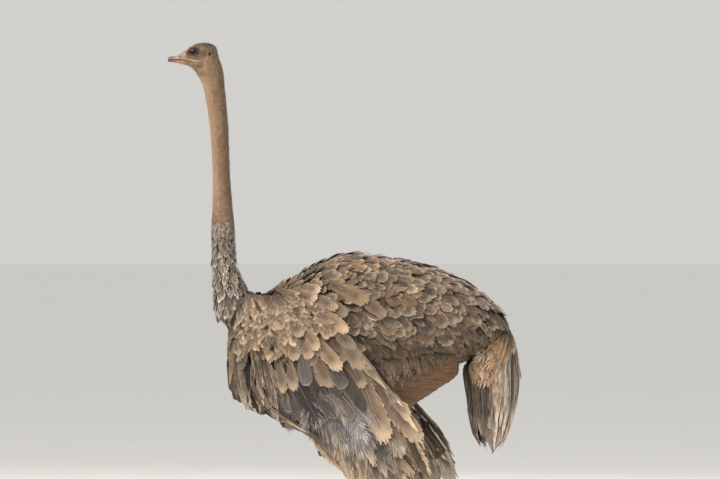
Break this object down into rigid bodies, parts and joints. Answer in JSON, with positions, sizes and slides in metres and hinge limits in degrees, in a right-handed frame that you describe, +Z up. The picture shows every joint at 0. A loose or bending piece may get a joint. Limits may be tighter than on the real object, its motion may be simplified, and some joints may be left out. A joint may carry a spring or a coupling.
{
  "type": "ostrich",
  "caption": "Female ostrich, life size, standing with upright neck and both wings let down; still display model.",
  "frame": {"origin": "bottom centre of the bounding box, on the floor that the soles stand on", "axes": "+Z up, the bird looks along -Y, its left side is +X"},
  "size_m": [0.6836, 1.3688, 2.0047],
  "materials": {
    "plumage": "grey-brown contour feathers with pale rims",
    "plumes": "loose plumes, cream to brown",
    "bare_skin": "bare tan skin with sparse hair-like down",
    "scutes": "horny scales over skin",
    "horn": "satin horn",
    "eye": "wet gloss"
  },
  "bodies": {
    "root": {"head": "bare_skin", "bill_upper": "horn", "bill_lower": "horn", "eye_left": "eye", "eye_right": "eye", "ear_left": "bare_skin", "ear_right": "bare_skin", "neck_upper": "bare_skin", "neck_middle": "bare_skin", "neck_lower": "plumage", "trunk": "plumage", "tail": "plumes", "wing_left": "plumage", "wing_right": "plumage", "wing_plumes_left": "plumes", "wing_plumes_right": "plumes", "thigh_left": "bare_skin", "thigh_right": "bare_skin", "shank_left": "bare_skin", "shank_right": "bare_skin", "tarsus_left": "scutes", "tarsus_right": "scutes", "toe_inner_left": "scutes", "toe_inner_right": "scutes", "toe_outer_left": "scutes", "toe_outer_right": "scutes", "claw_left": "horn", "claw_right": "horn"}
  },
  "joints": []
}
